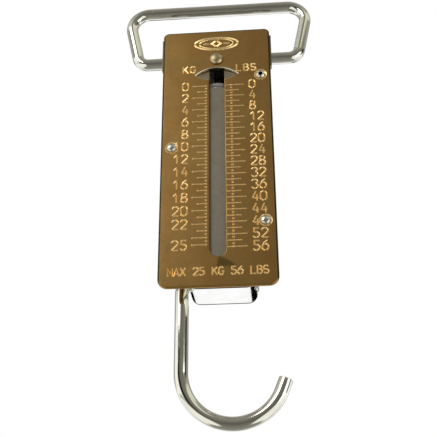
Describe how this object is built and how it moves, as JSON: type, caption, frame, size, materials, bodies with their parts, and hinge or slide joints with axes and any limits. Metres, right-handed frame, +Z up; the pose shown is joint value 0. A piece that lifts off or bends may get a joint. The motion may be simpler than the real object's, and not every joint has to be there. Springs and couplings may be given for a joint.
{
  "type": "hanging spring scale",
  "caption": "Hand-held spring scale: a slotted brass face over a sprung draw frame, with a swinging wire handle above and a swinging open hook below.",
  "frame": {"origin": "underside of the middle of the handle's grip, where a support carries the scale", "axes": "+Z up, the brass face looks along -Y, +X to the right as the face is read"},
  "size_m": [0.1094, 0.034, 0.2525],
  "materials": {
    "brass": "aged, mottled brass with punched graduations",
    "bright_nickel": "bright nickel-plated steel wire and strap",
    "housing_steel": "dull nickelled sheet steel",
    "index_steel": "grey worn steel",
    "rivet_metal": "peened nickelled rivets",
    "spring_steel": "dark oil-tempered spring wire",
    "zinc_steel": "zinc-plated steel"
  },
  "bodies": {
    "handle": {"handle": "bright_nickel", "handle_washer_left": "zinc_steel", "handle_washer_right": "zinc_steel"},
    "case": {"front_plate": "brass", "back_housing": "housing_steel", "handle_yoke": "zinc_steel", "main_rivet": "rivet_metal", "plate_rivet_upper": "rivet_metal", "plate_rivet_middle": "rivet_metal", "plate_rivet_lower": "rivet_metal", "travel_stop": "zinc_steel", "stop_rivet_left": "rivet_metal", "stop_rivet_right": "rivet_metal", "load_spring": "spring_steel"},
    "draw_frame": {"draw_strap": "bright_nickel", "index_strip": "index_steel", "index_rivet": "rivet_metal", "upper_bridge": "zinc_steel", "lower_bridge": "zinc_steel", "rear_bridge": "zinc_steel", "spring_pin": "zinc_steel", "upper_bridge_rivet_left": "rivet_metal", "upper_bridge_rivet_right": "rivet_metal", "lower_bridge_rivet_left": "rivet_metal", "lower_bridge_rivet_right": "rivet_metal", "rear_bridge_rivet_left": "rivet_metal", "rear_bridge_rivet_right": "rivet_metal"},
    "hook": {"hook": "bright_nickel"}
  },
  "joints": [
    {"name": "handle_swing", "type": "hinge", "parent": "handle", "child": "case", "pos_m": [0, 0, -0.0337], "axis": [1, 0, 0], "range_deg": [-145, 145]},
    {"name": "draw_slide", "type": "slide", "parent": "case", "child": "draw_frame", "axis": [0, 0, -1], "range_m": [0, 0.0955], "stiffness_N_per_m": 2568, "springref_m": -0.00048, "deforming": ["load_spring"]},
    {"name": "hook_swing", "type": "hinge", "parent": "draw_frame", "child": "hook", "pos_m": [0, 0, -0.1721], "axis": [1, 0, 0], "range_deg": [-45, 90]}
  ]
}
